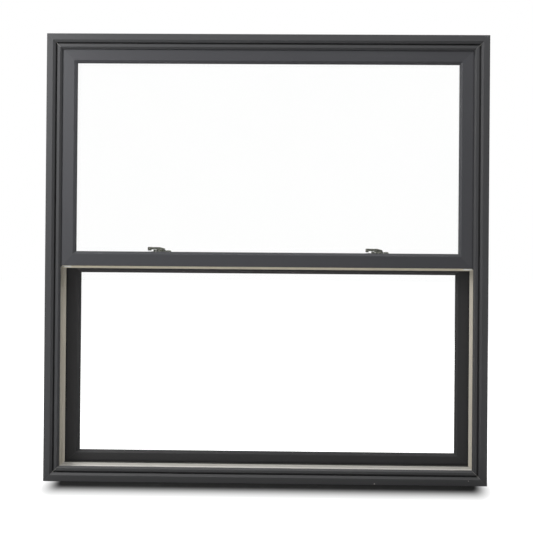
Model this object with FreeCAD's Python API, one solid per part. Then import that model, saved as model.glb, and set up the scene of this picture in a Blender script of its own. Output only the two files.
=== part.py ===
import FreeCAD, Part
import math
import os
from FreeCAD import Vector

# A double-hung window unit: a welded frame of four mitred, chambered profiles,
# an upper sash in the outer track and a lower sash in the inner track.
# Millimetres. X runs along the sill, Y goes from the exterior (-Y) to the room (+Y),
# Z is up, and the origin is the middle of the unit's underside.

# Overall sizes of the frame
frame_width = 1207.0
frame_height = 1222.0

# Frame profile, measured inward from the frame's outer edge and back from its exterior face
outer_face_width = 16.8
face_chamfer_width = 6.0
face_chamfer_depth = 5.0
screen_groove_width = 5.2
screen_groove_depth = 10.0
lip_face_width = 7.4
lip_setback = 3.0
lip_slope_width = 4.4
lip_back_depth = 9.5
lip_edge_thickness = 1.5
track_wall_setback = 33.0
parting_stop_reach = 9.0
parting_stop_thickness = 3.0
interior_stop_reach = 8.0
interior_stop_thickness = 4.0
sill_dam_reach = 13.0
sill_fall = 2.0
fin_groove_width = 6.0
fin_groove_depth = 4.0
fin_groove_setback = 22.0
frame_wall = 2.2

# Balance channel behind each track wall of the jambs
balance_slot_width = 9.0
balance_pocket_width = 22.0
balance_pocket_floor = 12.0

# Sashes
sash_thickness = 30.0
upper_face_depth = 8.0
sash_stop_clearance = 3.0
sash_room_clearance = 1.6
sash_side_clearance = 3.0
face_step_width = 6.7
face_step_depth = 2.5
rail_leg_depth = 13.0
glazing_bevel_width = 7.0
glazing_bevel_depth = 5.0
glazing_leg_back = 6.5
stile_face_width = 29.8
upper_top_face_width = 27.8
meeting_rail_face_width = 32.4
check_rail_face_width = 34.9
bottom_rail_face_width = 22.8
meeting_overlap = 36.6
meeting_drop = 11.3
sash_wall = 2.2
pile_groove_width = 4.0
pile_groove_depth = 3.0
pile_setback = 3.5

# Rounding of the extruded edges
soft_edge = 1.5
plain_edge = 0.8
thin_edge = 0.5

# Glass and beads
pane_thickness = 3.0
spacer_thickness = 10.0
spacer_width = 6.5
glass_bite = 12.5
glass_edge_clearance = 1.5
bead_setback = 5.5
bead_foot_width = 2.0
bead_foot_depth = 2.6
bead_flat = 2.0
bead_heel = 3.5
bead_joint_gap = 0.15

# Interlock between the meeting rails
interlock_wall = 1.6
interlock_height = 10.0
interlock_clearance = 0.8
interlock_end_gap = 6.0

# Finger lift along the bottom rail
lift_level = 15.0
lift_wall = 2.5
lift_hook_height = 6.0

# Cam locks and keepers
lock_spacing = 612.0
lock_length = 64.0
lock_base_depth = 21.0
lock_base_height = 10.5
lock_corner_radius = 6.0
lock_top_radius = 2.5
lock_boss_length = 14.0
lock_boss_height = 14.0
turret_radius = 10.5
turret_height = 1.5
turret_offset = 6.8
lever_hub_height = 3.5
lever_reach = 38.8
lever_width = 9.0
lever_thickness = 7.0
lever_rise = 4.0
lever_bend = 5.0
lever_flat_end = 6.5
lever_nose = 8.0
lever_nose_height = 7.4
lever_grip_drop = 3.0
lever_grip_length = 8.5
lever_round = 1.2
lever_rest_offset = 20.5
lever_rest_length = 4.5
lever_rest_depth = 13.0
lever_rest_gap = 0.6
lever_rest_round = 1.5
cam_thickness = 3.0
cam_radius = 11.0
cam_offset = 8.0
keeper_length = 50.0
keeper_wall = 2.0
keeper_height = 14.0
keeper_hook = 4.0

# Tilt latches
latch_length = 58.0
latch_depth = 15.0
latch_height = 4.5
latch_end_setback = 2.0
latch_bolt_width = 7.5
latch_bolt_height = 6.0
latch_bolt_reach = 6.0
latch_button_length = 16.0
latch_button_width = 9.0
latch_button_rise = 2.0
latch_round = 4.0

# Balance shoes and pivot bars
shoe_height = 55.0
shoe_foot = 6.0
shoe_clearance = 0.3
shoe_socket_depth = 12.0
pivot_bar_width = 8.0
pivot_bar_thickness = 3.0
pivot_bar_length = 52.0
pivot_bar_setback = 2.5
pivot_notch_clearance = 0.5

# Vent latches on the upper sash stiles
vent_latch_height = 42.0
vent_latch_width = 14.0
vent_latch_body = 3.0
vent_tongue_height = 22.0
vent_tongue_width = 8.0
vent_tongue_rise = 5.0
vent_latch_level = 120.0
vent_latch_round = 3.0

# Installation screw holes through the jambs
screw_hole_radius = 2.75
screw_end_setback = 150.0
screw_sash_setback = 100.0

# Places worked out from the sizes above
half_width = frame_width / 2
meeting_level = frame_height / 2 - meeting_drop
upper_sash_bottom = meeting_level - meeting_overlap / 2
lower_sash_top = meeting_level + meeting_overlap / 2
groove_start = outer_face_width + face_chamfer_width
groove_end = groove_start + screen_groove_width
lip_end = groove_end + lip_face_width
lip_tip = lip_end + lip_slope_width
parting_tip = track_wall_setback + parting_stop_reach
parting_front = upper_face_depth + sash_thickness + sash_stop_clearance
parting_back = parting_front + parting_stop_thickness
lower_face_depth = parting_back + sash_stop_clearance
interior_stop_front = lower_face_depth + sash_thickness + sash_room_clearance
frame_depth = interior_stop_front + interior_stop_thickness
sash_setback = track_wall_setback + sash_side_clearance
sash_edge = half_width - sash_setback
outer_track_middle = (lip_back_depth + parting_front) / 2
inner_track_middle = (parting_back + interior_stop_front) / 2
glass_depth = 2 * pane_thickness + spacer_thickness
bead_front = glazing_leg_back + glass_depth
sides = ("left", "right", "bottom", "top")


def at_depth(depth):
    """The Y of a depth measured back from the exterior face."""
    return depth - frame_depth / 2


def outward(side):
    """The X direction from the window's middle towards one of its sides."""
    return 1 if side == "right" else -1


def box(end_x, other_x, front_y, back_y, low_z, high_z):
    low_x = min(end_x, other_x)
    high_x = max(end_x, other_x)
    size = (high_x - low_x, back_y - front_y, high_z - low_z)
    return Part.makeBox(*size, Vector(low_x, front_y, low_z))


# Outlines with rounded corners

def corner_arc(before, corner, after, radius):
    """The two tangent points and the middle of the arc that rounds a corner."""
    to_before = (before - corner).normalize()
    to_after = (after - corner).normalize()
    half_angle = to_before.getAngle(to_after) / 2
    reach = radius / math.tan(half_angle)
    bisector = (to_before + to_after).normalize()
    middle = corner + bisector * (radius / math.sin(half_angle) - radius)
    return corner + to_before * reach, middle, corner + to_after * reach


def outline_face(points, place):
    """A face from (inward, depth) points, each with an optional rounding radius."""
    corners = [place(point[0], point[1]) for point in points]
    radii = [point[2] if len(point) > 2 else 0.0 for point in points]
    edges = []
    ends = []
    for index, corner in enumerate(corners):
        if radii[index]:
            after = corners[(index + 1) % len(corners)]
            start, middle, end = corner_arc(corners[index - 1], corner, after, radii[index])
            edges.append(Part.Arc(start, middle, end).toShape())
            ends.append((start, end))
        else:
            ends.append((corner, corner))
    for index, (start, end) in enumerate(ends):
        following = ends[(index + 1) % len(ends)][0]
        edges.append(Part.makeLine(end, following))
    return Part.Face(Part.Wire(Part.__sortEdges__(edges)))


class Rectangle:
    """The outer edges of a frame or sash, and the width of each side's member."""

    def __init__(self, half, bottom, top, widths):
        self.half = half
        self.bottom = bottom
        self.top = top
        self.widths = widths

    def corner(self, side, level):
        return outward(side) * self.half, self.bottom if level == "bottom" else self.top


def member(side, outline, chambers, rectangle, joint_gap=0.0):
    """One side of a rectangle: an outline and its hollow chambers, run along it and mitred."""
    r = rectangle
    upright = side in ("left", "right")
    start_x = outward(side) * r.half if upright else -r.half
    start_z = r.top if side == "top" else r.bottom
    run = Vector(0, 0, r.top - r.bottom) if upright else Vector(2 * r.half, 0, 0)

    def place(inward, depth):
        if upright:
            return Vector(start_x - outward(side) * inward, at_depth(depth), start_z)
        rise = -inward if side == "top" else inward
        return Vector(start_x, at_depth(depth), start_z + rise)

    section = outline_face(outline, place)
    for chamber in chambers:
        section = section.cut(outline_face(chamber, place))
    bar = section.Faces[0].extrude(run)
    return bar.common(mitre_wedge(side, r, joint_gap))


def mitre_wedge(side, rectangle, joint_gap):
    """The space between the two mitre planes of one side, from beyond its edge to past its line."""
    r = rectangle
    beyond_edge = -0.5
    past_line = 1.35
    upright = side in ("left", "right")
    if upright:
        ends = ((side, "bottom"), (side, "top"))
        shift = Vector(0, 0, joint_gap)
    else:
        ends = (("left", side), ("right", side))
        shift = Vector(joint_gap, 0, 0)

    def along(end, share):
        column, level = end
        x, z = r.corner(column, level)
        rise = r.widths[level] * (1 if level == "bottom" else -1)
        return Vector(x - outward(column) * r.widths[column] * share, -frame_depth, z + rise * share)

    points = [
        along(ends[0], beyond_edge) + shift,
        along(ends[0], past_line) + shift,
        along(ends[1], past_line) - shift,
        along(ends[1], beyond_edge) - shift,
    ]
    outline = Part.makePolygon(points + points[:1])
    return Part.Face(outline).extrude(Vector(0, 2 * frame_depth, 0))


# Frame: head, sill and two jambs cut from one family of extrusions and welded at the corners

frame_edges = Rectangle(half_width, 0.0, frame_height, dict.fromkeys(sides, lip_tip))


def exterior_outline():
    """From the outer corner over the face, the screen groove and the lip to the track."""
    return [
        (0, 0, plain_edge),
        (outer_face_width, 0, soft_edge),
        (groove_start, face_chamfer_depth, plain_edge),
        (groove_start, screen_groove_depth),
        (groove_end, screen_groove_depth),
        (groove_end, lip_setback, plain_edge),
        (lip_end, lip_setback, soft_edge),
        (lip_tip, lip_back_depth - lip_edge_thickness, thin_edge),
        (lip_tip, lip_back_depth),
    ]


def outer_edge_outline():
    """Back along the outer edge, with the groove for an installation fin."""
    groove_far = fin_groove_setback + fin_groove_width
    return [
        (0, frame_depth, plain_edge),
        (0, groove_far),
        (fin_groove_depth, groove_far),
        (fin_groove_depth, fin_groove_setback),
        (0, fin_groove_setback),
    ]


def balance_channel(middle):
    """The slotted pocket in which a balance shoe slides."""
    slot = balance_slot_width / 2
    pocket = balance_pocket_width / 2
    back_of_wall = track_wall_setback - frame_wall
    return [
        (track_wall_setback, middle - slot),
        (back_of_wall, middle - slot),
        (back_of_wall, middle - pocket),
        (balance_pocket_floor, middle - pocket),
        (balance_pocket_floor, middle + pocket),
        (back_of_wall, middle + pocket),
        (back_of_wall, middle + slot),
        (track_wall_setback, middle + slot),
    ]


def frame_outline(is_jamb, floor_fall=0.0, room_reach=interior_stop_reach):
    """The whole section, from the exterior face round the two tracks to the outer edge."""
    room_tip = track_wall_setback + room_reach
    outer_channel = balance_channel(outer_track_middle) if is_jamb else []
    inner_channel = balance_channel(inner_track_middle) if is_jamb else []
    return (
        exterior_outline()
        + [(track_wall_setback - floor_fall, lip_back_depth)]
        + outer_channel
        + [
            (track_wall_setback, parting_front),
            (parting_tip, parting_front, plain_edge),
            (parting_tip, parting_back, plain_edge),
            (track_wall_setback, parting_back),
        ]
        + inner_channel
        + [
            (track_wall_setback, interior_stop_front),
            (room_tip, interior_stop_front, plain_edge),
            (room_tip, frame_depth, soft_edge),
        ]
        + outer_edge_outline()
    )


def chamber(low_inward, high_inward, front, back):
    return [(low_inward, front), (high_inward, front), (high_inward, back), (low_inward, back)]


def frame_chambers(is_jamb, floor_fall=0.0):
    """The closed hollows of a frame profile, one wall away from every surface."""
    wall = frame_wall
    pocket = balance_pocket_width / 2
    deep = balance_pocket_floor - wall
    shallow = track_wall_setback - wall - floor_fall
    web = (parting_front + parting_back) / 2
    nose_back = outer_track_middle - pocket - wall
    nose = [
        (wall, wall),
        (outer_face_width, wall),
        (groove_start - wall, face_chamfer_depth + wall),
        (groove_start - wall, nose_back),
        (deep, nose_back),
        (deep, fin_groove_setback - wall),
        (wall, fin_groove_setback - wall),
    ]
    fin_groove_back = fin_groove_setback + fin_groove_width
    outer_pocket_back = outer_track_middle + pocket
    inner_pocket_front = inner_track_middle - pocket
    inner_pocket_back = inner_track_middle + pocket
    between = (balance_pocket_floor, shallow, outer_pocket_back + wall, inner_pocket_front - wall)
    room = (balance_pocket_floor, shallow, inner_pocket_back + wall, frame_depth - wall)
    chambers = [
        nose,
        chamber(wall, deep, fin_groove_back + wall, web - wall / 2),
        chamber(wall, deep, web + wall / 2, frame_depth - wall),
        chamber(*between),
        chamber(*room),
    ]
    if not is_jamb:
        for middle in (outer_track_middle, inner_track_middle):
            chambers.append(chamber(balance_pocket_floor, shallow, middle - pocket, middle + pocket))
    return chambers


def frame_jamb(side):
    """A jamb, with the installation holes through the floor of its balance channels."""
    jamb = member(side, frame_outline(True), frame_chambers(True), frame_edges)
    away = Vector(outward(side), 0, 0)
    below_upper = (screw_end_setback, upper_sash_bottom - screw_sash_setback)
    above_lower = (lower_sash_top + screw_sash_setback, frame_height - screw_end_setback)
    for middle, levels in ((outer_track_middle, below_upper), (inner_track_middle, above_lower)):
        for level in levels:
            start = Vector(0, at_depth(middle), level) + away * (half_width - balance_pocket_floor)
            jamb = jamb.cut(Part.makeCylinder(screw_hole_radius, balance_pocket_floor, start, away))
    return jamb


def frame_head():
    return member("top", frame_outline(False), frame_chambers(False), frame_edges)


def frame_sill():
    """The sill, whose outer track falls to the exterior and whose room edge stands up as a dam."""
    outline = frame_outline(False, sill_fall, sill_dam_reach)
    return member("bottom", outline, frame_chambers(False, sill_fall), frame_edges)


# Sashes: stiles and rails of one profile, welded at the corners

def glass_line(face_width):
    """How far inward of a sash's outer edge its glass opening starts."""
    return face_step_width + face_width + glazing_bevel_width


def pocket_floor(face_width):
    """Where the floor of the glass pocket lies, below the glass edge."""
    return glass_line(face_width) - glass_bite - glass_edge_clearance


class Sash:
    """One sash: its edges, the depth of its exterior face and the face width of each side."""

    def __init__(self, face_depth, track_middle, bottom, top, bottom_face, top_face):
        self.depth = face_depth
        self.track_middle = track_middle
        self.faces = {
            "left": stile_face_width,
            "right": stile_face_width,
            "bottom": bottom_face,
            "top": top_face,
        }
        widths = {side: glass_line(face) for side, face in self.faces.items()}
        self.edges = Rectangle(sash_edge, bottom, top, widths)

    def set_back(self, points):
        """Profile points at the depth of this sash in the frame."""
        return [(point[0], point[1] + self.depth) + tuple(point[2:]) for point in points]

    def y(self, depth):
        return at_depth(self.depth + depth)


upper_sash = Sash(
    upper_face_depth,
    outer_track_middle,
    upper_sash_bottom,
    frame_height - sash_setback,
    meeting_rail_face_width,
    upper_top_face_width,
)
lower_sash = Sash(
    lower_face_depth,
    inner_track_middle,
    sash_setback,
    lower_sash_top,
    bottom_rail_face_width,
    check_rail_face_width,
)


def bead_foot():
    """The front and back of the bead's foot in its groove."""
    front = bead_front + (sash_thickness - bead_front - bead_foot_width) / 2
    return front, front + bead_foot_width


def pile_groove(front):
    return [
        (0, front + pile_groove_width),
        (pile_groove_depth, front + pile_groove_width),
        (pile_groove_depth, front),
        (0, front),
    ]


def front_pile():
    return face_step_depth + pile_setback


def rear_pile():
    return sash_thickness - pile_setback - pile_groove_width


def sash_outline(face_width, step_depth):
    """A stile or rail: stepped face, glazing bevel, glass pocket, bead groove and pile grooves."""
    line = glass_line(face_width)
    floor = pocket_floor(face_width)
    foot_front, foot_back = bead_foot()
    points = [
        (0, step_depth, thin_edge),
        (face_step_width, step_depth),
        (face_step_width, 0, plain_edge),
        (face_step_width + face_width, 0, plain_edge),
        (line, glazing_bevel_depth, thin_edge),
        (line, glazing_leg_back),
        (floor, glazing_leg_back),
        (floor, foot_front),
        (floor - bead_foot_depth, foot_front),
        (floor - bead_foot_depth, foot_back),
        (floor, foot_back),
        (floor, sash_thickness),
        (0, sash_thickness, plain_edge),
    ]
    points += pile_groove(rear_pile())
    if step_depth < front_pile():
        points += pile_groove(front_pile())
    return points


def sash_chambers(face_width):
    """Two closed hollows, parted by a web in the middle of the sash's thickness."""
    low = face_step_width + sash_wall
    high = pocket_floor(face_width) - bead_foot_depth - sash_wall
    front = face_step_depth + sash_wall
    back = sash_thickness - sash_wall
    web = sash_thickness / 2
    return [
        chamber(low, high, front, web - sash_wall / 2),
        chamber(low, high, web + sash_wall / 2, back),
    ]


def sash_member(sash, side, step_depth=face_step_depth):
    """One side of a sash, with the notches for its pivot bars."""
    face = sash.faces[side]
    outline = sash.set_back(sash_outline(face, step_depth))
    chambers = [sash.set_back(hollow) for hollow in sash_chambers(face)]
    bar = member(side, outline, chambers, sash.edges)
    for end in {"left": ["left"], "right": ["right"], "bottom": ["left", "right"], "top": []}[side]:
        bar = bar.cut(pivot_notch(sash, end))
    return bar


def interlock_hook(sash, root_depth, direction, shelf_level, lip_rise):
    """A fin along a meeting rail, turned up or down at its tip to catch the other rail's fin."""
    reach = 2 * sash_stop_clearance + parting_stop_thickness - interlock_clearance
    half = sash.edges.half - sash.edges.widths["left"] - interlock_end_gap
    root = sash.y(root_depth)
    tip = root + direction * reach
    shelf_top = shelf_level + interlock_wall
    shelf = box(-half, half, min(root, tip), max(root, tip), shelf_level, shelf_top)
    lip_inner = tip - direction * interlock_wall
    lip_low, lip_high = sorted((shelf_level, shelf_level + lip_rise))
    lip = box(-half, half, min(lip_inner, tip), max(lip_inner, tip), lip_low, max(lip_high, shelf_top))
    return shelf.fuse(lip)


def upper_bottom_rail():
    """The upper meeting rail: its room side hangs below its face, and its fin turns down."""
    rail = sash_member(upper_sash, "bottom", rail_leg_depth)
    shelf_level = meeting_level + interlock_height - interlock_wall
    hook = interlock_hook(upper_sash, sash_thickness, 1, shelf_level, interlock_wall - interlock_height)
    return rail.fuse(hook).removeSplitter()


def lower_top_rail():
    """The lower meeting rail, whose fin turns up inside the other one."""
    rail = sash_member(lower_sash, "top")
    shelf_level = meeting_level - interlock_wall - interlock_clearance
    hook = interlock_hook(lower_sash, 0, -1, shelf_level, interlock_height)
    return rail.fuse(hook).removeSplitter()


def lower_bottom_rail():
    """The bottom rail, with the finger lift along its room face."""
    rail = sash_member(lower_sash, "bottom")
    root = sash_thickness - sash_wall
    tip = frame_depth - lower_face_depth
    hook = [
        (lift_level, root),
        (lift_level, tip, plain_edge),
        (lift_level + lift_hook_height, tip, plain_edge),
        (lift_level + lift_hook_height, tip - lift_wall, plain_edge),
        (lift_level + lift_wall, tip - lift_wall),
        (lift_level + lift_wall, root),
    ]
    lift = member("bottom", lower_sash.set_back(hook), [], lower_sash.edges)
    return rail.fuse(lift).removeSplitter()


# Glazing: two panes on a spacer, held by snap-in beads on the room side

def pane(sash, front, thickness):
    """A sheet from pocket to pocket."""
    r = sash.edges
    half = r.half - r.widths["left"] + glass_bite
    low = r.bottom + r.widths["bottom"] - glass_bite
    high = r.top - r.widths["top"] + glass_bite
    return box(-half, half, sash.y(front), sash.y(front + thickness), low, high)


def spacer(sash):
    """The bar that keeps the two panes apart, bent round the edge of the glass."""
    outer = pane(sash, glazing_leg_back + pane_thickness, spacer_thickness)
    around = outer.BoundBox
    inner_half = around.XMax - spacer_width
    hole = box(
        -inner_half,
        inner_half,
        around.YMin,
        around.YMax,
        around.ZMin + spacer_width,
        around.ZMax - spacer_width,
    )
    return outer.cut(hole)


def glazing_bead(sash, side):
    """A snap-in bead: foot in its groove, sloped face towards the room."""
    edge = glass_line(sash.faces[side]) - bead_setback
    floor = pocket_floor(sash.faces[side])
    foot_front, foot_back = bead_foot()
    points = [
        (floor, bead_front),
        (edge, bead_front),
        (edge, bead_front + bead_flat, thin_edge),
        (floor + bead_heel, sash_thickness, thin_edge),
        (floor, sash_thickness),
        (floor, foot_back),
        (floor - bead_foot_depth, foot_back),
        (floor - bead_foot_depth, foot_front),
        (floor, foot_front),
    ]
    return member(side, sash.set_back(points), [], sash.edges, bead_joint_gap)


def glazing_beads(sash):
    return Part.makeCompound([glazing_bead(sash, side) for side in sides])


# Weatherstrips in the pile grooves of the sashes

def stile_strip(sash, side, front):
    """A strip from the bottom of a stile's groove to the track wall that it brushes."""
    deep = outward(side) * (sash.edges.half - pile_groove_depth)
    brushed = outward(side) * (half_width - track_wall_setback)
    low = sash.edges.bottom + sash.edges.widths["bottom"]
    high = sash.edges.top - sash.edges.widths["top"]
    return box(deep, brushed, sash.y(front), sash.y(front + pile_groove_width), low, high)


def rail_strip(sash, level, seat, front):
    """A strip from the bottom of a rail's groove to the sill or head that it closes on."""
    half = sash.edges.half - sash.edges.widths["left"]
    low, high = sorted((level, seat))
    return box(-half, half, sash.y(front), sash.y(front + pile_groove_width), low, high)


def weatherstrip(sash, level, seat):
    strips = []
    for front in (front_pile(), rear_pile()):
        strips.append(rail_strip(sash, level, seat, front))
        for side in ("left", "right"):
            strips.append(stile_strip(sash, side, front))
    return Part.makeCompound(strips)


def upper_weatherstrip():
    groove = upper_sash.edges.top - pile_groove_depth
    return weatherstrip(upper_sash, groove, frame_height - track_wall_setback)


def lower_weatherstrip():
    groove = lower_sash.edges.bottom + pile_groove_depth
    return weatherstrip(lower_sash, groove, track_wall_setback)


# Balance shoes and pivot bars: they carry each sash's bottom corners and let it tilt in

def pivot_level(sash):
    return sash.edges.bottom + pivot_bar_setback


def pivot_inner_end():
    return half_width - balance_pocket_floor - pivot_bar_length


def pivot_notch(sash, side):
    """The notch in a sash's bottom corner that takes the pivot bar."""
    middle = at_depth(sash.track_middle)
    half = pivot_bar_width / 2 + pivot_notch_clearance
    top = pivot_level(sash) + pivot_bar_thickness
    track_wall = outward(side) * (half_width - track_wall_setback)
    inner_end = outward(side) * pivot_inner_end()
    return box(track_wall, inner_end, middle - half, middle + half, sash.edges.bottom, top)


def pivot_bar(sash, side):
    """A flat bar from the sash's bottom corner into the balance shoe."""
    middle = at_depth(sash.track_middle)
    half = pivot_bar_width / 2
    outer_end = outward(side) * (half_width - track_wall_setback + shoe_socket_depth)
    inner_end = outward(side) * pivot_inner_end()
    level = pivot_level(sash)
    top = level + pivot_bar_thickness
    return box(outer_end, inner_end, middle - half, middle + half, level, top)


def balance_shoe(sash, side):
    """The sliding block in the balance channel, with a nose in the slot and a socket for the bar."""
    middle = at_depth(sash.track_middle)
    half = balance_pocket_width / 2 - shoe_clearance
    nose_half = balance_slot_width / 2 - shoe_clearance
    away = outward(side)
    deep = away * (half_width - balance_pocket_floor)
    shoulder = away * (half_width - track_wall_setback + frame_wall + shoe_clearance)
    nose_end = away * (half_width - track_wall_setback + shoe_clearance)
    low = pivot_level(sash) + pivot_bar_thickness / 2 - shoe_foot
    high = low + shoe_height
    body = box(deep, shoulder, middle - half, middle + half, low, high)
    nose = box(shoulder, nose_end, middle - nose_half, middle + nose_half, low, high)
    return body.fuse(nose).cut(pivot_bar(sash, side)).removeSplitter()


# Cam locks on the lower meeting rail, and their keepers on the upper one

def rounded_plate(length, depth, height, corner_radius, top_radius=0.0):
    plate = Part.makeBox(length, depth, height, Vector(-length / 2, -depth / 2, 0))
    uprights = [edge for edge in plate.Edges if edge.BoundBox.ZLength > height / 2]
    plate = plate.makeFillet(corner_radius, uprights)
    if top_radius:
        rim = [edge for edge in plate.Edges if edge.BoundBox.ZMin > height / 2]
        plate = plate.makeFillet(top_radius, rim)
    return plate


def lock_place(side):
    middle = lower_sash.y(sash_thickness / 2)
    return Vector(outward(side) * lock_spacing / 2, middle, lower_sash.edges.top)


def cam_lock(side):
    """The lock body: a base with a boss, a turret and a rest for the lever, and the cam below."""
    base = rounded_plate(
        lock_length, lock_base_depth, lock_base_height, lock_corner_radius, lock_top_radius
    )
    boss = rounded_plate(
        lock_boss_length, lock_base_depth, lock_boss_height, lock_corner_radius, lock_top_radius
    )
    boss.translate(Vector((lock_length - lock_boss_length) / 2, 0, 0))
    turret = Part.makeCylinder(
        turret_radius, turret_height, Vector(turret_offset, 0, lock_base_height)
    )
    rest_height = lock_base_height + turret_height + lever_rise - lever_rest_gap
    rest = rounded_plate(lever_rest_length, lever_rest_depth, rest_height, lever_rest_round)
    rest.translate(Vector(turret_offset - lever_rest_offset, 0, 0))
    cam = Part.makeCylinder(cam_radius, cam_thickness, Vector(turret_offset, -cam_offset, 0))
    body = base.fuse([boss, turret, rest, cam]).removeSplitter()
    body.translate(lock_place(side))
    return body


def lock_lever(side):
    """The lever: a low hub, a bar cranked up from it, and a grip that points down at the tip."""
    low = lock_base_height + turret_height
    bar_low = low + lever_rise
    bar_top = bar_low + lever_thickness
    hub = Part.makeCylinder(turret_radius, lever_hub_height, Vector(turret_offset, 0, low))
    nose = turret_offset + lever_nose
    near_end = turret_offset - turret_radius
    tip = turret_offset - lever_reach
    grip_end = tip + lever_grip_length
    points = [
        (nose, low),
        (near_end, low),
        (near_end - lever_bend, bar_low),
        (grip_end, bar_low),
        (grip_end, bar_low - lever_grip_drop, lever_round),
        (tip, bar_low - lever_grip_drop, lever_round),
        (tip, bar_top, lever_round),
        (turret_offset - lever_flat_end, bar_top, lever_round),
        (nose, low + lever_nose_height, lever_round),
    ]
    profile = outline_face(points, lambda x, z: Vector(x, -lever_width / 2, z))
    arm = profile.extrude(Vector(0, lever_width, 0))
    lever = hub.fuse(arm).removeSplitter()
    lever.translate(lock_place(side))
    return lever


def lock_keeper(side):
    """The keeper on the room side of the upper meeting rail, hooked over the cam."""
    place = lock_place(side)
    back = upper_sash.y(sash_thickness)
    top = lower_sash.edges.top + cam_thickness + interlock_clearance + keeper_wall
    centre = place.x + turret_offset
    left = centre - keeper_length / 2
    right = centre + keeper_length / 2
    plate = box(left, right, back, back + keeper_wall, top - keeper_height, top)
    hook = box(left, right, back, back + keeper_wall + keeper_hook, top - keeper_wall, top)
    return plate.fuse(hook).removeSplitter()


# Tilt latches on the ends of the lower meeting rail

def tilt_latch(side):
    """A slide button on the end of the rail, with its bolt in the jamb's slot."""
    middle = at_depth(lower_sash.track_middle)
    top = lower_sash.edges.top
    away = outward(side)
    centre = away * (lower_sash.edges.half - latch_end_setback - latch_length / 2)
    plate = rounded_plate(latch_length, latch_depth, latch_height, latch_round)
    plate.translate(Vector(centre, middle, top))
    button = rounded_plate(
        latch_button_length,
        latch_button_width,
        latch_height + latch_button_rise,
        latch_round,
    )
    button.translate(Vector(centre, middle, top))
    bolt_half = latch_bolt_width / 2
    bolt = box(
        centre,
        centre + away * (latch_length / 2 + latch_bolt_reach),
        middle - bolt_half,
        middle + bolt_half,
        top,
        top + latch_height,
    )
    return plate.fuse([button, bolt]).removeSplitter()


def vent_latch(side):
    """A folding stop on the room face of an upper stile, which limits how far the sashes open."""
    back = upper_sash.y(sash_thickness)
    middle_of_stile = upper_sash.edges.half - pocket_floor(stile_face_width) / 2
    centre = outward(side) * middle_of_stile
    level = lower_sash_top + vent_latch_level
    body = rounded_plate(vent_latch_width, vent_latch_height, vent_latch_body, vent_latch_round)
    tongue = rounded_plate(
        vent_tongue_width, vent_tongue_height, vent_tongue_rise, vent_latch_round
    )
    latch = body.fuse(tongue).removeSplitter()
    latch.rotate(Vector(0, 0, 0), Vector(1, 0, 0), -90)
    latch.translate(Vector(centre, back, level))
    return latch


# All the pieces by name

def build():
    pieces = {
        "frame_head": frame_head(),
        "frame_sill": frame_sill(),
        "upper_top_rail": sash_member(upper_sash, "top"),
        "upper_bottom_rail": upper_bottom_rail(),
        "lower_top_rail": lower_top_rail(),
        "lower_bottom_rail": lower_bottom_rail(),
        "upper_weatherstrip": upper_weatherstrip(),
        "lower_weatherstrip": lower_weatherstrip(),
    }
    inner_front = glazing_leg_back + pane_thickness + spacer_thickness
    for name, sash in (("upper", upper_sash), ("lower", lower_sash)):
        pieces[name + "_outer_pane"] = pane(sash, glazing_leg_back, pane_thickness)
        pieces[name + "_inner_pane"] = pane(sash, inner_front, pane_thickness)
        pieces[name + "_spacer"] = spacer(sash)
        pieces[name + "_glazing_beads"] = glazing_beads(sash)
        for side in ("left", "right"):
            pieces[name + "_stile_" + side] = sash_member(sash, side)
            pieces[name + "_pivot_bar_" + side] = pivot_bar(sash, side)
            pieces[name + "_balance_shoe_" + side] = balance_shoe(sash, side)
    for side in ("left", "right"):
        pieces["frame_jamb_" + side] = frame_jamb(side)
        pieces["cam_lock_" + side] = cam_lock(side)
        pieces["lock_lever_" + side] = lock_lever(side)
        pieces["lock_keeper_" + side] = lock_keeper(side)
        pieces["tilt_latch_" + side] = tilt_latch(side)
        pieces["vent_latch_" + side] = vent_latch(side)
    return pieces


os.makedirs("parts", exist_ok=True)
for name, shape in build().items():
    shape.exportStep("parts/" + name + ".step")
    print(name, len(shape.Solids), round(shape.Volume / 1000.0, 1), shape.isValid())
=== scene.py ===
import math

import bmesh
import bpy
from mathutils import Matrix, Vector


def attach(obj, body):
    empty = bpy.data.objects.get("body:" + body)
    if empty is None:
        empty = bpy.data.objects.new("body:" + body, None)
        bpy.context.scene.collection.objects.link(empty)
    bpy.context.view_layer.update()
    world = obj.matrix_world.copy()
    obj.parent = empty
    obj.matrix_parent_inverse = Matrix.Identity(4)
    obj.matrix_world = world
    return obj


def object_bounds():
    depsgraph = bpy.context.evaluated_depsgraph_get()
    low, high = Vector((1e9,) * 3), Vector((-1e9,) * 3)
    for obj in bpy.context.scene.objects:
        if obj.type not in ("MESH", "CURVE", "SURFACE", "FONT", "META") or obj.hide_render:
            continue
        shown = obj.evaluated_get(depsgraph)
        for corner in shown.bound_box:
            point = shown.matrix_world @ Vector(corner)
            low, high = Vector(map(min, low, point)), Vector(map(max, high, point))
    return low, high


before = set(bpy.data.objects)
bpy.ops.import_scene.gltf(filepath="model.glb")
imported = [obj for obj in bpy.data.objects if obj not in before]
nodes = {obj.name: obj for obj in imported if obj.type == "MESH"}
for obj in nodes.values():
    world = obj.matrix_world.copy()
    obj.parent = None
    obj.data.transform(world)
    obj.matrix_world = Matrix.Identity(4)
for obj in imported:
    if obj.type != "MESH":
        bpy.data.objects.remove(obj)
cad_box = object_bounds()

# The studio: a plain white floor that runs out to a white horizon, and soft light.
# The floor and the sky are white to the eye, to gloss and to glass, and give the
# object only a plain, even light. The floor still takes the unit's own shadow, and
# round the unit's foot a soft contact shadow is painted into it as well.


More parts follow.
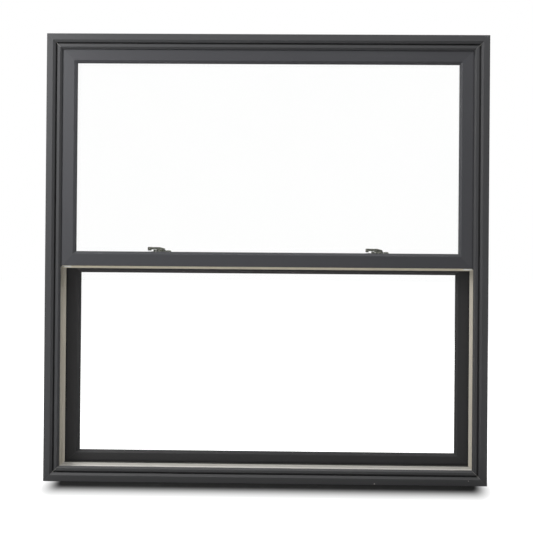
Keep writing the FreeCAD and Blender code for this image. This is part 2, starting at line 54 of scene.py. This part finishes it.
class Value:
    """A shader socket. Sums written on it become Math nodes."""

    def __init__(self, sheet, socket):
        self.sheet = sheet
        self.socket = socket

    def __add__(self, other):
        return self.sheet.math("ADD", self, other)

    __radd__ = __add__

    def __sub__(self, other):
        return self.sheet.math("SUBTRACT", self, other)

    def __rsub__(self, other):
        return self.sheet.math("SUBTRACT", other, self)

    def __mul__(self, other):
        return self.sheet.math("MULTIPLY", self, other)

    __rmul__ = __mul__

    def __truediv__(self, other):
        return self.sheet.math("DIVIDE", self, other)

    def __abs__(self):
        return self.sheet.math("ABSOLUTE", self, 0.0)

    def root(self):
        return self.sheet.math("SQRT", self, 0.0)

    def below(self, other):
        return self.sheet.math("LESS_THAN", self, other)

    def above(self, other):
        return self.sheet.math("GREATER_THAN", self, other)

    def least(self, other):
        return self.sheet.math("MINIMUM", self, other)

    def most(self, other):
        return self.sheet.math("MAXIMUM", self, other)

    def rise(self, low, high):
        """0 below low, 1 above high, and a smooth slope between them."""
        return self.sheet.node(
            "MapRange",
            {"interpolation_type": "SMOOTHSTEP"},
            {"Value": self, "From Min": low, "From Max": high},
        )


class Sheet:
    """The node tree of one material, or of the world."""

    def __init__(self, tree):
        self.tree = tree
        tree.nodes.clear()

    def node(self, kind, settings=None, inputs=None, output=0):
        """One node: its settings first, then the values or links of its sockets."""
        new = self.tree.nodes.new("ShaderNode" + kind)
        for name, value in (settings or {}).items():
            setattr(new, name, value)
        for name, value in (inputs or {}).items():
            if isinstance(value, Value):
                self.tree.links.new(value.socket, new.inputs[name])
            else:
                new.inputs[name].default_value = value
        return Value(self, new.outputs[output]) if len(new.outputs) else None

    def math(self, operation, first, second):
        return self.node("Math", {"operation": operation}, {0: first, 1: second})

    def where(self):
        """The place on the piece, in metres, as one vector."""
        return self.node("TexCoord", output="Object")

    def place(self):
        """The place on the piece in metres, as x, y and z, and as one vector."""
        where = self.where()
        parts = [self.node("SeparateXYZ", None, {0: where}, axis) for axis in "XYZ"]
        return parts[0], parts[1], parts[2], where

    def noise(self, where, scale, detail=2.0, stretch=None):
        if stretch:
            where = self.node("Mapping", None, {"Vector": where, "Scale": stretch})
        return self.node("TexNoise", None, {"Vector": where, "Scale": scale, "Detail": detail})

    def blend(self, share, first, second):
        """A colour between two others."""
        settings = {"data_type": "RGBA"}
        return self.node("Mix", settings, {0: share, 6: first, 7: second}, 2)

    def bump(self, height, depth):
        return self.node("Bump", None, {"Height": height, "Strength": 1.0, "Distance": depth})

    def surface(self, sockets):
        """Ends the sheet in one Principled surface with these sockets."""
        body = self.node("BsdfPrincipled", None, sockets)
        self.node("OutputMaterial", None, {"Surface": body})


def new_finish(name):
    """An empty material and the sheet of its nodes."""
    material = bpy.data.materials.new(name)
    material.use_nodes = True
    return material, Sheet(material.node_tree)


def seen(sheet):
    """1 for what the eye, gloss and glass see, and 0 for light that falls on things."""
    path = "LightPath"
    eye = sheet.node(path, output="Is Camera Ray")
    gloss = sheet.node(path, output="Is Glossy Ray")
    through = sheet.node(path, output="Is Transmission Ray")
    return eye.most(gloss).most(through)


white = (1.0, 1.0, 1.0, 1.0)
sky_light = 0.10

world = bpy.data.worlds.new("studio_sky")
world.use_nodes = True
bpy.context.scene.world = world
sky = Sheet(world.node_tree)
strength = seen(sky) * (1.0 - sky_light) + sky_light
sky_glow = sky.node("Background", None, {"Color": white, "Strength": strength})
sky.node("OutputWorld", None, {"Surface": sky_glow})

floor_radius = 14.0
floor_white = 0.98
painted_shadow_dark = (0.02, 0.02, 0.02, 1.0)
floor_pale = (0.60, 0.60, 0.60, 1.0)
foot_middle, foot_half_length, foot_half_depth = 0.007, 0.544, 0.041
end_squeeze, back_squeeze = 1.8, 0.9
shadow_core, shadow_end = 0.0256, 0.139

bpy.ops.object.select_all(action="DESELECT")
bpy.ops.mesh.primitive_circle_add(vertices=64, radius=floor_radius, fill_type="NGON")
floor = bpy.context.object
floor.name = "studio_floor"
floor_finish, sheet = new_finish("studio_floor")
x, y, _, where = sheet.place()
# Painted shadow: round the unit's foot the floor's glow and its paint both fade to dark.
beside = ((abs(x - foot_middle) - foot_half_length) * end_squeeze).most(0.0)
before = (abs(y) - foot_half_depth).most(0.0) * (1.0 + y.above(0.0) * back_squeeze)
clear_of_painted_shadow = (beside * beside + before * before).root().rise(shadow_core, shadow_end)
fade = 1.0 - clear_of_painted_shadow
bright = (1.0 - fade * fade) * seen(sheet) * floor_white
glow = sheet.node("Emission", None, {"Color": white, "Strength": bright})
half_lit = clear_of_painted_shadow * clear_of_painted_shadow
lit = half_lit * half_lit
tone = sheet.noise(where, 3.0) * lit * 0.08 + lit * lit * 0.92
paint = sheet.blend(tone, painted_shadow_dark, floor_pale)
matt = sheet.node("BsdfDiffuse", None, {"Color": paint})
both = sheet.node("AddShader", None, {0: matt, 1: glow})
sheet.node("OutputMaterial", None, {"Surface": both})
floor.data.materials.append(floor_finish)


def lamp(name, place, target, size, watts, mirrored=True):
    """A square soft light, turned to its target. Only a mirrored one shows in gloss."""
    light = bpy.data.lights.new(name, "AREA")
    light.shape = "SQUARE"
    light.size = size
    light.energy = watts
    holder = bpy.data.objects.new(name, light)
    holder.visible_camera = False
    holder.visible_glossy = mirrored
    holder.visible_transmission = False
    bpy.context.scene.collection.objects.link(holder)
    turn = (Vector(target) - Vector(place)).to_track_quat("-Z", "Y")
    holder.matrix_world = Matrix.Translation(place) @ turn.to_matrix().to_4x4()


lamp("near_left_softbox", (-1.5, -0.9, 1.5), (0.0, 0.0, 0.7), 0.7, 31.0)
lamp("front_softbox", (-0.2, -2.7, 0.7), (0.0, 0.0, 0.6), 1.0, 13.5, False)
lamp("upper_softbox", (0.4, -0.8, 2.6), (0.0, 0.0, 0.6), 0.9, 26.0)
lamp("overhead_softbox", (0.0, 0.9, 2.9), (0.0, 0.0, 0.0), 1.4, 14.0)
lamp("room_side_softbox", (0.8, 2.8, 1.5), (0.0, 0.0, 0.6), 1.8, 30.0, False)
lamp("right_side_softbox", (2.7, 1.0, 1.3), (0.6, 0.1, 0.6), 1.2, 11.0, False)

# The camera stands in front of the unit, a little to the right of its middle, and
# looks nearly square at it. Its place and turn are those that put the frame, both
# glass openings and the meeting rails where the picture has them.

picture_width = 533.0
focal_pixels = 646.21
middle_x, middle_y = 318.26, 253.54
camera_place = (0.16118, -1.79539, 0.62175)
yaw, pitch, roll = 0.6308, 0.1495, -0.4623

camera = bpy.data.cameras.new("camera")
camera.sensor_width = 36.0
camera.lens = camera.sensor_width * focal_pixels / picture_width
camera.shift_x = (picture_width / 2 - middle_x) / picture_width
camera.shift_y = (middle_y - picture_width / 2) / picture_width
camera.clip_start = 0.05
viewer = bpy.data.objects.new("camera", camera)
bpy.context.scene.collection.objects.link(viewer)
turned = Matrix.Rotation(math.radians(yaw), 4, "Z")
turned = turned @ Matrix.Rotation(math.radians(pitch), 4, "X")
turned = turned @ Matrix.Rotation(math.radians(roll), 4, "Y")
upright = Matrix.Rotation(math.radians(90.0), 4, "X")
viewer.matrix_world = Matrix.Translation(camera_place) @ turned @ upright
bpy.context.scene.camera = viewer
bpy.context.scene.view_settings.view_transform = "Standard"

# The frame: four chambered vinyl extrusions, mitred and welded at the corners. The
# weather side has a satin dark grey finish that ends on the back of the lip, and
# behind that line, in the tracks and towards the room, the bare beige vinyl shows.

frame_grey = ((0.0490, 0.0494, 0.0514, 1.0), (0.0588, 0.0592, 0.0617, 1.0))
# Painted light: the sill's grey is the frame grey painted lighter, for its face low by the floor.
sill_grey_painted_light = ((0.0567, 0.0570, 0.0585, 1.0), (0.0680, 0.0684, 0.0702, 1.0))
jamb_beige = ((0.565, 0.530, 0.458, 1.0), (0.625, 0.588, 0.512, 1.0))
# Painted shade: the head and sill beige is the jamb beige painted darker, for the level tracks.
level_beige_painted_shade = ((0.515, 0.502, 0.474, 1.0), (0.577, 0.560, 0.528, 1.0))
# Painted shade: the colour the deep screen groove of the frame is darkened towards.
groove_painted_shade = (0.012, 0.012, 0.012, 1.0)
chip_beige = (0.50, 0.48, 0.44, 1.0)
weld_grey = (0.12, 0.12, 0.12, 1.0)
weld_beige = (0.68, 0.64, 0.57, 1.0)

frame_low, frame_high = cad_box
half_width = frame_high[0]
frame_top = frame_high[2]
face_front = frame_low[1]
frame_face = 0.0398
lip_inner_edge, lip_slope_depth = 0.0290, 0.005
groove_outer_edge, groove_inner_edge = 0.0226, 0.0281
groove_floor = face_front + 0.0038
lip_back = face_front + 0.0096
paint_waver = 0.0003
weld_half_width = 0.0007
across_mitre = 0.7

# Each chip is its place across and up, and its radius.
sill_chips = ((0.299, 0.0035, 0.0024), (0.553, 0.0141, 0.0016))


def vinyl(name, painted, plain, painted_to, long_axis, weld, line=0.1, chips=(), groove=False):
    """Vinyl, painted in front of one depth and bare behind it.

    Weld and line give the lines at its corners, chips the spots where the paint is
    gone, and groove the painted shade in the screen groove of the frame.
    """
    material, sheet = new_finish(name)
    x, y, z, where = sheet.place()
    along = (6.0, 900.0, 900.0) if long_axis == "X" else (900.0, 900.0, 6.0)
    drawn = sheet.noise(where, 1.0, 3.0, along)
    clouds = sheet.noise(where, 5.0, 3.0)
    grain = sheet.noise(where, 1600.0, 2.0)
    specks = sheet.noise(where, 420.0, 1.0).rise(0.70, 0.78)
    bare = (y + drawn * paint_waver).above(painted_to + paint_waver / 2)
    if groove:
        from_edge = (half_width - abs(x)).least(z.least(frame_top - z))
        on_lip = from_edge.below(lip_inner_edge) * y.below(painted_to + lip_slope_depth)
        bare = bare * (1.0 - on_lip)
        in_groove = from_edge.above(groove_outer_edge) * from_edge.below(groove_inner_edge)
        shaded_groove = in_groove * y.above(groove_floor)
    seam = weld(x, z).below(weld_half_width)
    tone = clouds * 0.7 + drawn * 0.3
    grey = sheet.blend(tone, *painted)
    beige = sheet.blend(tone, *plain)
    for chip_x, chip_z, radius in chips:
        across, up = x - chip_x, z - chip_z
        off = (across * across + up * up).root() + grain * 0.001
        chip = off.below(radius) * 0.5
        grey = sheet.blend(chip, grey, chip_beige)
    # Painted shade: the screen groove is painted darker.
    if groove:
        grey = sheet.blend(shaded_groove * 0.55, grey, groove_painted_shade)
    colour = sheet.blend(bare, grey, beige)
    lighter = sheet.blend(bare, weld_grey, weld_beige)
    sheet.surface(
        {
            "Base Color": sheet.blend(seam * line + specks * 0.06, colour, lighter),
            "Roughness": 0.44 + clouds * 0.10 + grain * 0.06 + seam * 0.1 - bare * 0.04,
            "Specular IOR Level": 0.13,
            "Normal": sheet.bump(grain * 0.5 + drawn * 0.35 - seam * 0.8, 0.00006),
        }
    )
    return material


def corner_weld(half, low, high, side_width, low_width, high_width):
    """How far a place is from the mitre line of its corner, in metres."""

    def distance(x, z):
        inward = (half - abs(x)) / side_width
        from_low = abs(inward - (z - low) / low_width) * (low_width * across_mitre)
        from_high = abs(inward - (high - z) / high_width) * (high_width * across_mitre)
        return from_low.least(from_high)

    return distance


def dress(node, material):
    """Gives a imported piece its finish."""
    slots = nodes[node].data.materials
    slots.clear()
    slots.append(material)


frame_weld = corner_weld(half_width, 0.0, frame_top, frame_face, frame_face, frame_face)
head_vinyl = vinyl(
    "frame_head_vinyl", frame_grey, level_beige_painted_shade, lip_back, "X", frame_weld, 0.15, groove=True
)
sill_vinyl = vinyl(
    "frame_sill_vinyl", sill_grey_painted_light, level_beige_painted_shade, lip_back, "X", frame_weld, 0.25, sill_chips, True
)
jamb_vinyl = vinyl(
    "frame_jamb_vinyl", frame_grey, jamb_beige, lip_back, "Z", frame_weld, 0.2, groove=True
)
dress("frame_head", head_vinyl)
dress("frame_sill", sill_vinyl)
dress("frame_jamb_left", jamb_vinyl)
dress("frame_jamb_right", jamb_vinyl)

# The two sashes: stiles and rails of one chambered extrusion, welded at the corners.
# The grey finish covers their weather face up to the glass. Their edges, the leg of
# the upper meeting rail and all that faces the room are bare beige vinyl.

sash_inset = 0.036
sash_half = half_width - sash_inset
stile_width = 0.0435
painted_depth = 0.0066
# Painted light: the sash beige is painted lighter than the frame's, for the leg under the meeting
# rail, which lies in shade.
sash_beige_painted_light = ((0.68, 0.630, 0.510, 1.0), (0.74, 0.690, 0.565, 1.0))

upper_front = face_front + 0.008
upper_painted = upper_front + painted_depth
upper_low, upper_high = 0.5814, frame_top - sash_inset
meeting_rail_width, top_rail_width = 0.0461, 0.0415
# Painted shade: the upper rails are painted a shade darker than the upper stiles, though one paint
# covers both.
upper_rail_grey_painted_shade = ((0.0457, 0.0461, 0.0501, 1.0), (0.0547, 0.0553, 0.0601, 1.0))
stile_grey = ((0.0514, 0.0519, 0.0560, 1.0), (0.0616, 0.0622, 0.0672, 1.0))
upper_weld = corner_weld(
    sash_half, upper_low, upper_high, stile_width, meeting_rail_width, top_rail_width
)
upper_rails = vinyl("upper_sash_level", upper_rail_grey_painted_shade, sash_beige_painted_light, upper_painted, "X", upper_weld)
upper_stiles = vinyl("upper_sash_upright", stile_grey, sash_beige_painted_light, upper_painted, "Z", upper_weld)
dress("upper_top_rail", upper_rails)
dress("upper_bottom_rail", upper_rails)
dress("upper_stile_left", upper_stiles)
dress("upper_stile_right", upper_stiles)

lower_front = face_front + 0.047
lower_painted = lower_front + painted_depth
check_rail_top = 0.618
bottom_rail_width, check_rail_width = 0.0365, 0.0486
# Painted shade: the lower sash's stiles and bottom rail are painted darker than its check rail,
# where the sash sits deep in the frame.
lower_grey_painted_shade = ((0.0300, 0.0296, 0.0303, 1.0), (0.0360, 0.0355, 0.0364, 1.0))
check_grey = ((0.0435, 0.0429, 0.0439, 1.0), (0.0522, 0.0515, 0.0528, 1.0))
lower_weld = corner_weld(
    sash_half, sash_inset, check_rail_top, stile_width, bottom_rail_width, check_rail_width
)
bottom_rail = vinyl("lower_sash_level", lower_grey_painted_shade, sash_beige_painted_light, lower_painted, "X", lower_weld)
lower_stiles = vinyl("lower_sash_upright", lower_grey_painted_shade, sash_beige_painted_light, lower_painted, "Z", lower_weld)
check_rail = vinyl("lower_sash_check_rail", check_grey, sash_beige_painted_light, lower_painted, "X", lower_weld)
dress("lower_top_rail", check_rail)
dress("lower_bottom_rail", bottom_rail)
dress("lower_stile_left", lower_stiles)
dress("lower_stile_right", lower_stiles)

# The glass: two clear float panes to a sash, sealed to a spacer of bent aluminium.
# The panes carry a faint uneven film, and the spacer shows the lines of its rolling.
# Light reaches through the panes to what is behind them, as it does through real ones.

clear_glass, sheet = new_finish("clear_glass")
where = sheet.where()
film = sheet.noise(where, 7.0, 4.0)
pane_body = sheet.node(
    "BsdfPrincipled",
    None,
    {
        "Base Color": sheet.blend(film, (0.990, 0.993, 0.991, 1.0), (0.999, 1.0, 0.999, 1.0)),
        "Roughness": film.rise(0.62, 0.9) * 0.02,
        "IOR": 1.22,
        "Transmission Weight": 1.0,
        "Normal": sheet.bump(sheet.noise(where, 1.2, 0.0), 0.0001),
    },
)
open_way = sheet.node("BsdfTransparent", None, {"Color": (0.965, 0.975, 0.97, 1.0)})
light_only = sheet.node("LightPath", output="Is Shadow Ray")
pane_all = sheet.node("MixShader", None, {0: light_only, 1: pane_body, 2: open_way})
sheet.node("OutputMaterial", None, {"Surface": pane_all})
for pane in ("upper_outer_pane", "upper_inner_pane", "lower_outer_pane", "lower_inner_pane"):
    dress(pane, clear_glass)

spacer_metal, sheet = new_finish("spacer_metal")
where = sheet.where()
rolled = sheet.noise(where, 1.0, 3.0, (12.0, 900.0, 12.0))
mottled = sheet.noise(where, 260.0, 1.0)
sheet.surface(
    {
        "Base Color": sheet.blend(rolled, (0.44, 0.44, 0.45, 1.0), (0.58, 0.58, 0.58, 1.0)),
        "Metallic": 0.85,
        "Roughness": 0.38 + rolled * 0.14,
        "Normal": sheet.bump(rolled * 0.5 + mottled * 0.5, 0.00008),
    }
)
dress("upper_spacer", spacer_metal)
dress("lower_spacer", spacer_metal)

# A thin bead of black sealant runs round each glass on the weather side, and a black
# rubber lip, pressed into the glazing beads, holds it from the room side.


def choose(piece, test):
    """In edit mode, selects only the faces that pass the test."""
    mesh = bmesh.from_edit_mesh(piece.data)
    for face in mesh.faces:
        face.select_set(test(face))
    bmesh.update_edit_mesh(piece.data)


def shape(piece, kind, **settings):
    """Adds a modifier and applies it at once."""
    modifier = piece.modifiers.new(kind.lower(), kind)
    for name, value in settings.items():
        setattr(modifier, name, value)
    bpy.context.view_layer.objects.active = piece
    bpy.ops.object.modifier_apply(modifier=modifier.name)


def block(middle, size):
    """A block with its place in its mesh, ready for shaping."""
    bpy.ops.object.select_all(action="DESELECT")
    bpy.ops.mesh.primitive_cube_add(size=1.0, location=middle, scale=size)
    bpy.ops.object.transform_apply(location=True, rotation=True, scale=True)
    return bpy.context.object


def open_block(middle, size, opening, wall, rounding):
    """A block without the faces of its opening, walled inwards and rounded."""
    piece = block(middle, size)
    bpy.ops.object.mode_set(mode="EDIT")
    choose(piece, opening)
    bpy.ops.mesh.delete(type="FACE")
    bpy.ops.object.mode_set(mode="OBJECT")
    shape(piece, "SOLIDIFY", thickness=wall, offset=-1.0, use_even_offset=True)
    shape(piece, "BEVEL", width=rounding, segments=2, limit_method="ANGLE")
    return piece


def seal_ring(half, low, high, front, back, wall):
    """Four thin walls round an opening, open outdoors and to the room."""
    middle = (0.0, (front + back) / 2, (low + high) / 2)
    size = (2 * half, back - front, high - low)
    return open_block(middle, size, lambda face: abs(face.normal.y) > 0.9, wall, seal_rounding)


def finished(piece, name, material):
    """Names a piece, gives it its finish and hangs it on the unit."""
    piece.name = name
    piece.data.materials.clear()
    piece.data.materials.append(material)
    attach(piece, "root")


black_rubber, sheet = new_finish("black_rubber")
where = sheet.where()
dust = sheet.noise(where, 40.0, 3.0)
sheet.surface(
    {
        "Base Color": sheet.blend(dust, (0.012, 0.012, 0.012, 1.0), (0.035, 0.035, 0.033, 1.0)),
        "Roughness": 0.55 + dust * 0.2,
        "Normal": sheet.bump(sheet.noise(where, 1100.0), 0.00006),
    }
)

glass_half = sash_half - stile_width
upper_opening = (0.6275, frame_top - 0.0775)
lower_opening = (0.0725, 0.5694)
seal_rounding = 0.0002
sealant_front, sealant_back, sealant_wall = 0.0057, 0.0065, 0.0005
rubber_front, rubber_depth, rubber_wall, rubber_tuck = 0.0225, 0.0010, 0.0007, 0.0055
for sash, front, (low, high) in (
    ("upper", upper_front, upper_opening),
    ("lower", lower_front, lower_opening),
):
    ring = seal_ring(
        glass_half, low, high, front + sealant_front, front + sealant_back, sealant_wall
    )
    finished(ring, sash + "_weather_sealant", black_rubber)
    wide = glass_half + rubber_tuck
    inside = front + rubber_front
    ring = seal_ring(
        wide, low - rubber_tuck, high + rubber_tuck, inside, inside + rubber_depth, rubber_wall
    )
    finished(ring, sash + "_bead_lip", black_rubber)

# A black rubber capping is pushed over the top of the thin stop that parts the two
# tracks of the sill. The foot of the lower sash passes close behind it.

stop_depth = face_front + 0.0425
stop_top = 0.0420
stop_half_length = 0.5612
capping_width, capping_wall, capping_rounding = 0.0038, 0.0004, 0.00015
capping_low, capping_high = stop_top - 0.0023, stop_top + capping_wall
capping = open_block(
    (0.0, stop_depth, (capping_low + capping_high) / 2),
    (2 * stop_half_length, capping_width, capping_high - capping_low),
    lambda face: face.normal.z < -0.9,
    capping_wall,
    capping_rounding,
)
finished(capping, "sill_stop_capping", black_rubber)

# Where a frame corner is welded the molten vinyl swells out along the mitre. It is cut
# flush on the flat faces, but a thin ridge stays in the slope of the lip, in the
# screen groove and on the chamfer, in a streaky grey lighter than the frame.

weld_flash, sheet = new_finish("weld_flash")
where = sheet.where()
streaked = sheet.noise(where, 700.0, 2.0)
sheet.surface(
    {
        "Base Color": sheet.blend(streaked, (0.11, 0.11, 0.105, 1.0), (0.22, 0.215, 0.20, 1.0)),
        "Roughness": 0.50 + streaked * 0.2,
        "Specular IOR Level": 0.13,
        "Normal": sheet.bump(streaked, 0.0002),
    }
)

# How far in from the frame's edge, how deep behind its face, and how thick.
flash_path = (
    (0.0394, 0.0080, 0.0003),
    (0.0374, 0.0055, 0.0010),
    (0.0354, 0.0032, 0.0009),
    (0.0290, 0.0032, 0.0007),
    (0.0272, 0.0070, 0.0020),
    (0.0252, 0.0080, 0.0025),
    (0.0234, 0.0066, 0.0019),
    (0.0218, 0.0046, 0.0012),
    (0.0200, 0.0030, 0.0010),
    (0.0172, 0.0005, 0.0003),
)


def ridge(name, side, at_top, swell):
    """A thin round bar along the mitre of one corner, thicker in the groove."""
    places = []
    for inward, depth, _ in flash_path:
        height = frame_top - inward if at_top else inward
        places.append(Vector((side * (half_width - inward), face_front + depth, height)))
    bpy.ops.object.select_all(action="DESELECT")
    bpy.ops.mesh.primitive_plane_add(size=0.001, location=places[0])
    bpy.ops.object.transform_apply(location=True, rotation=True, scale=True)
    bar = bpy.context.object
    bpy.ops.object.mode_set(mode="EDIT")
    bpy.ops.mesh.merge(type="CENTER")
    for start, end in zip(places, places[1:]):
        bpy.ops.mesh.extrude_region_move(TRANSFORM_OT_translate={"value": end - start})
    bpy.ops.object.mode_set(mode="OBJECT")
    modifier = bar.modifiers.new("skin", "SKIN")
    for spot, (_, _, radius) in zip(bar.data.skin_vertices[0].data, flash_path):
        spot.radius = (radius * swell, radius * swell)
    bpy.ops.object.modifier_apply(modifier=modifier.name)
    shape(bar, "SUBSURF", levels=1)
    finished(bar, name, weld_flash)


sides = (("left", -1.0), ("right", 1.0))
low_swell, high_swell = {"left": 0.8, "right": 1.0}, 0.5
for side, way in sides:
    ridge("weld_ridge_low_" + side, way, False, low_swell[side])
    ridge("weld_ridge_high_" + side, way, True, high_swell)

# The glazing beads snap in behind the glass on the room side. They are thin beige
# vinyl strips, cut square to a mitre, with a softer gloss than the sash itself. The
# tilt latches and vent latches are moulded in the same beige.

bead_vinyl, sheet = new_finish("bead_vinyl")
where = sheet.where()
clouds = sheet.noise(where, 9.0, 3.0)
grain = sheet.noise(where, 1400.0, 2.0)
sheet.surface(
    {
        "Base Color": sheet.blend(clouds, (0.58, 0.54, 0.46, 1.0), (0.66, 0.62, 0.54, 1.0)),
        "Roughness": 0.36 + clouds * 0.12,
        "Specular IOR Level": 0.4,
        "Normal": sheet.bump(grain, 0.00004),
    }
)
dress("upper_glazing_beads", bead_vinyl)
dress("lower_glazing_beads", bead_vinyl)
for side in ("left", "right"):
    dress("tilt_latch_" + side, bead_vinyl)
    dress("vent_latch_" + side, bead_vinyl)

# The weatherstrips: grey woven pile on a backing that slides into the sash grooves.
# The hairs stand square to the strip and are a little uneven in colour and height.

pile_yarn, sheet = new_finish("pile_yarn")
where = sheet.where()
hairs = sheet.noise(where, 1500.0, 2.0)
tufts = sheet.noise(where, 260.0, 2.0)
sheet.surface(
    {
        "Base Color": sheet.blend(hairs, (0.10, 0.10, 0.10, 1.0), (0.30, 0.30, 0.29, 1.0)),
        "Roughness": 0.85 + tufts * 0.1,
        "Sheen Weight": 0.4,
        "Normal": sheet.bump(hairs * 0.7 + tufts * 0.6, 0.0006),
    }
)
dress("upper_weatherstrip", pile_yarn)
dress("lower_weatherstrip", pile_yarn)

# The pivot bars are zinc plated steel and run in white nylon shoes, which carry the
# sash on its balances inside the jambs. Sliding has polished and soiled both a little.

zinc_plate, sheet = new_finish("zinc_plate")
where = sheet.where()
spangle = sheet.node("TexVoronoi", None, {"Vector": where, "Scale": 350.0})
streaks = sheet.noise(where, 1.0, 3.0, (30.0, 1500.0, 1500.0))
sheet.surface(
    {
        "Base Color": sheet.blend(spangle, (0.50, 0.50, 0.50, 1.0), (0.68, 0.68, 0.67, 1.0)),
        "Metallic": 1.0,
        "Roughness": 0.32 + streaks * 0.2,
        "Normal": sheet.bump(streaks, 0.00005),
    }
)

white_nylon, sheet = new_finish("white_nylon")
where = sheet.where()
soil = sheet.noise(where, 60.0, 4.0)
sheet.surface(
    {
        "Base Color": sheet.blend(soil, (0.66, 0.65, 0.61, 1.0), (0.82, 0.82, 0.79, 1.0)),
        "Roughness": 0.42 + soil * 0.15,
        "Normal": sheet.bump(sheet.noise(where, 900.0), 0.00005),
    }
)
for sash in ("upper", "lower"):
    for side in ("left", "right"):
        dress(sash + "_pivot_bar_" + side, zinc_plate)
        dress(sash + "_balance_shoe_" + side, white_nylon)

# The cam locks on the check rail: die-cast metal with a satin olive-grey finish, the
# body screwed to the rail and the lever turning on the turret. The keepers match.

lock_metal, sheet = new_finish("lock_metal")
where = sheet.where()
brushed = sheet.noise(where, 1.0, 3.0, (60.0, 1200.0, 1200.0))
wear = sheet.noise(where, 90.0, 3.0)
sheet.surface(
    {
        "Base Color": sheet.blend(wear, (0.018, 0.019, 0.014, 1.0), (0.070, 0.070, 0.054, 1.0)),
        "Specular IOR Level": 0.2,
        "Roughness": 0.34 + wear * 0.14 + brushed * 0.06,
        "Normal": sheet.bump(brushed * 0.4 + wear * 0.3, 0.00008),
    }
)
for side in ("left", "right"):
    for piece in ("cam_lock_", "lock_lever_", "lock_keeper_"):
        dress(piece + side, lock_metal)

# Each lock is held by two zinc plated cross-head screws, one through the boss at its
# end and one beside the lever, and each keeper by two more through its plate.


def screw_head(radius, height):
    """A low domed head with a cross recess, standing at the origin."""
    bpy.ops.object.select_all(action="DESELECT")
    bpy.ops.mesh.primitive_cylinder_add(
        vertices=28, radius=radius, depth=height, location=(0.0, 0.0, height / 2)
    )
    bpy.ops.object.transform_apply(location=True, rotation=True, scale=True)
    head = bpy.context.object
    for share, lift in ((0.25, 0.18), (0.3, 0.10)):
        bpy.ops.object.mode_set(mode="EDIT")
        choose(head, lambda face: face.normal.z > 0.99)
        bpy.ops.mesh.inset(thickness=radius * share)
        bpy.ops.transform.translate(value=(0.0, 0.0, height * lift))
        bpy.ops.object.mode_set(mode="OBJECT")
    arm_length, arm_width = radius * 1.1, radius * 0.24
    for along, across in ((arm_length, arm_width), (arm_width, arm_length)):
        arm = block((0.0, 0.0, height * 1.3), (along, across, height * 1.2))
        shape(head, "BOOLEAN", operation="DIFFERENCE", object=arm, solver="EXACT")
        bpy.data.objects.remove(arm)
    return head


def copy_at(piece, name, place, turn, material):
    """A copy with its own mesh, turned and moved to its place."""
    twin = bpy.data.objects.new(name, piece.data.copy())
    twin.data.transform(Matrix.Translation(place) @ turn)
    bpy.context.scene.collection.objects.link(twin)
    finished(twin, name, material)


lock_middle = 0.306
lock_depth = lower_front + 0.015
boss_along, boss_rise = 0.025, 0.0138
base_along, base_back, base_rise = -0.022, 0.0072, 0.0103
keeper_along, keeper_spread = 0.0068, 0.018
keeper_face = upper_front + 0.0319
keeper_screw_height = check_rail_top - 0.0005
lock_screw = screw_head(0.0027, 0.0009)
keeper_screw = screw_head(0.0022, 0.0008)
to_room = Matrix.Rotation(math.radians(-90.0), 4, "X")
for side, way in sides:
    middle = way * lock_middle
    boss = (middle + boss_along, lock_depth, check_rail_top + boss_rise)
    base = (middle + base_along, lock_depth + base_back, check_rail_top + base_rise)
    for number, place in enumerate((boss, base)):
        turn = Matrix.Rotation(0.5 + number + way, 4, "Z")
        name = "lock_screw_" + side + "_" + str(number)
        copy_at(lock_screw, name, place, turn, zinc_plate)
    for number, off in enumerate((-keeper_spread, keeper_spread)):
        place = (middle + keeper_along + off, keeper_face, keeper_screw_height)
        name = "keeper_screw_" + side + "_" + str(number)
        copy_at(keeper_screw, name, place, to_room, zinc_plate)
bpy.data.objects.remove(lock_screw)
bpy.data.objects.remove(keeper_screw)

# A stop lug stands on each lock body between the rest and the turret and is cast with
# it. Its back slopes down towards the hub, so that the lever clears it as it turns.

lug_along, lug_low, lug_size = -0.0080, 0.0110, (0.0072, 0.0100, 0.0012)
crest_shift, crest_rise, crest_share = -0.0019, 0.0032, (0.45, 0.9, 1.0)
for side, way in sides:
    foot = (way * lock_middle + lug_along, lock_depth, check_rail_top + lug_low)
    lug = block(foot, lug_size)
    bpy.ops.object.mode_set(mode="EDIT")
    choose(lug, lambda face: face.normal.z > 0.9)
    rise = (crest_shift, 0.0, crest_rise)
    bpy.ops.mesh.extrude_region_move(TRANSFORM_OT_translate={"value": rise})
    crest = Vector(foot) + Vector((crest_shift, 0.0, lug_size[2] / 2 + crest_rise))
    bpy.ops.transform.resize(value=crest_share, center_override=crest)
    bpy.ops.object.mode_set(mode="OBJECT")
    shape(lug, "BEVEL", width=0.0004, segments=2, limit_method="ANGLE")
    finished(lug, "lock_stop_" + side, lock_metal)

# The lever ends in a grip with low ribs, and the slide buttons of the tilt latches
# have the same ribs for the thumb. Both are part of the casting or moulding.


def ribs(low_corner, size, count, pitch):
    """A row of rounded ribs, repeated along X."""
    middle = [corner + length / 2 for corner, length in zip(low_corner, size)]
    row = block(middle, size)
    shape(row, "BEVEL", width=min(size) * 0.45, segments=3, limit_method="ANGLE")
    shape(
        row,
        "ARRAY",
        count=count,
        use_relative_offset=False,
        use_constant_offset=True,
        constant_offset_displace=(pitch, 0.0, 0.0),
    )
    return row


grip_rib, grip_count, grip_pitch = (0.0009, 0.0076, 0.0009), 5, 0.0018
thumb_rib, thumb_count, thumb_pitch = (0.0009, 0.0064, 0.0009), 6, 0.0020
grip_start = (-0.0305, -0.0038, 0.0226)
thumb_start = (-0.0054, -0.0032, 0.0062)
latch_setback, latch_half_length = 0.002, 0.029
latch_middle = sash_half - latch_setback - latch_half_length
for side, way in sides:
    lock_place = Vector((way * lock_middle, lock_depth, check_rail_top))
    grip = ribs(lock_place + Vector(grip_start), grip_rib, grip_count, grip_pitch)
    finished(grip, "lever_ribs_" + side, lock_metal)
    latch_place = Vector((way * latch_middle, lock_depth, check_rail_top))
    thumb = ribs(latch_place + Vector(thumb_start), thumb_rib, thumb_count, thumb_pitch)
    finished(thumb, "latch_ribs_" + side, bead_vinyl)
